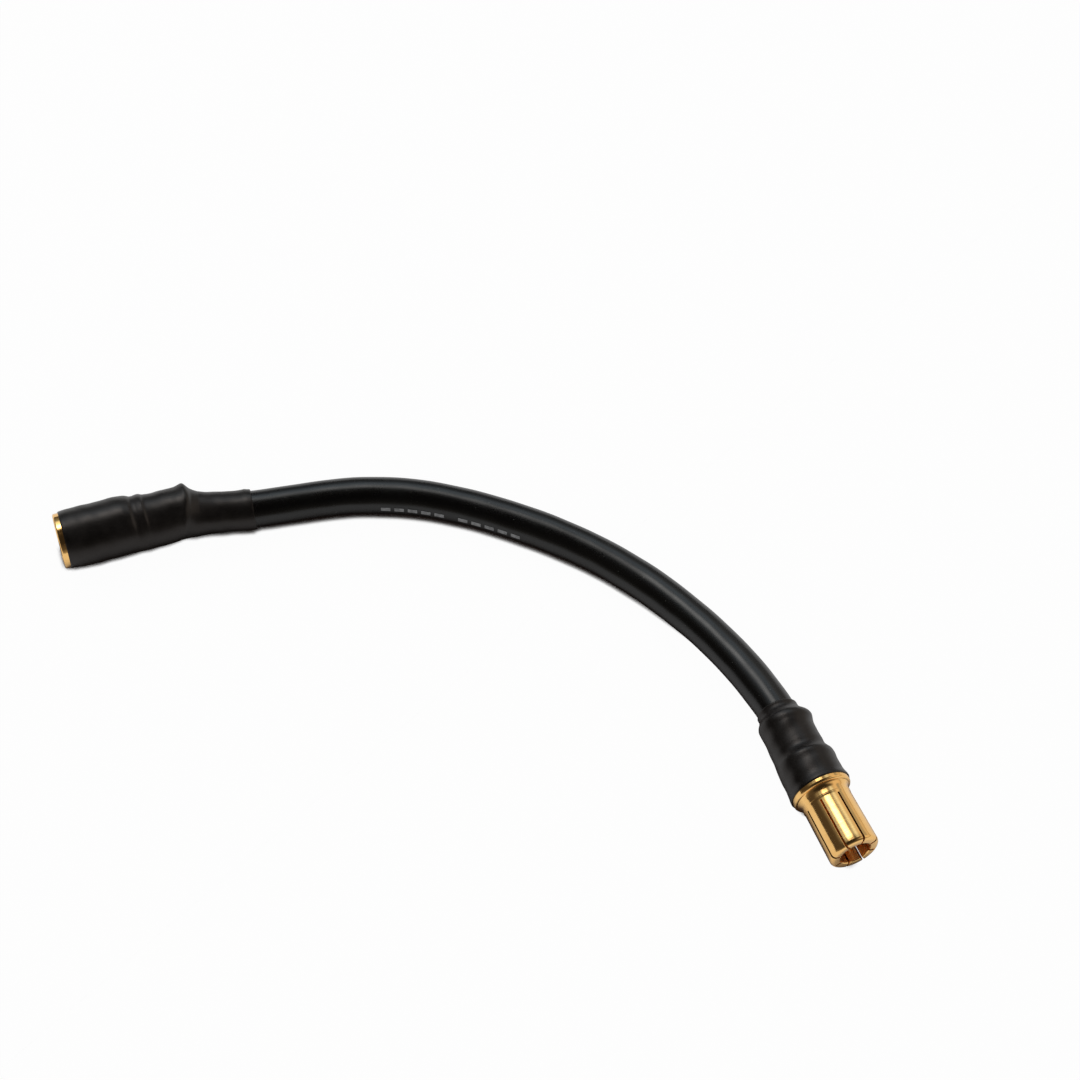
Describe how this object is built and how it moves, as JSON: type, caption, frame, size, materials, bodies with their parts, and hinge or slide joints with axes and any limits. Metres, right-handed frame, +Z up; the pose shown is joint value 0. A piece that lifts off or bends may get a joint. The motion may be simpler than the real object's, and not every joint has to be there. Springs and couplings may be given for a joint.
{
  "type": "battery lead with bullet connectors",
  "caption": "Short battery lead: a slotted gold-plated bullet plug and a matching socket on a silicone wire, each joint under heat-shrink.",
  "frame": {"origin": "on the surface that the lead lies on, at the centre of the plan box round its two ends (contacts, sleeves and solder)", "axes": "+Z up from that surface; +X from the socket's end towards the plug's end; the wire bows out towards +Y"},
  "size_m": [0.1277, 0.0697, 0.0098],
  "materials": {
    "gold_plate": "polished gold plating on turned brass",
    "heat_shrink": "satin",
    "silicone": "satin gloss",
    "tinned_copper": "fine strands",
    "solder": "satin"
  },
  "bodies": {
    "root": {"plug_contact": "gold_plate", "socket_contact": "gold_plate", "plug_sleeve": "heat_shrink", "socket_sleeve": "heat_shrink", "wire_jacket": "silicone", "wire_strands": "tinned_copper", "plug_solder": "solder", "socket_solder": "solder"}
  },
  "joints": []
}
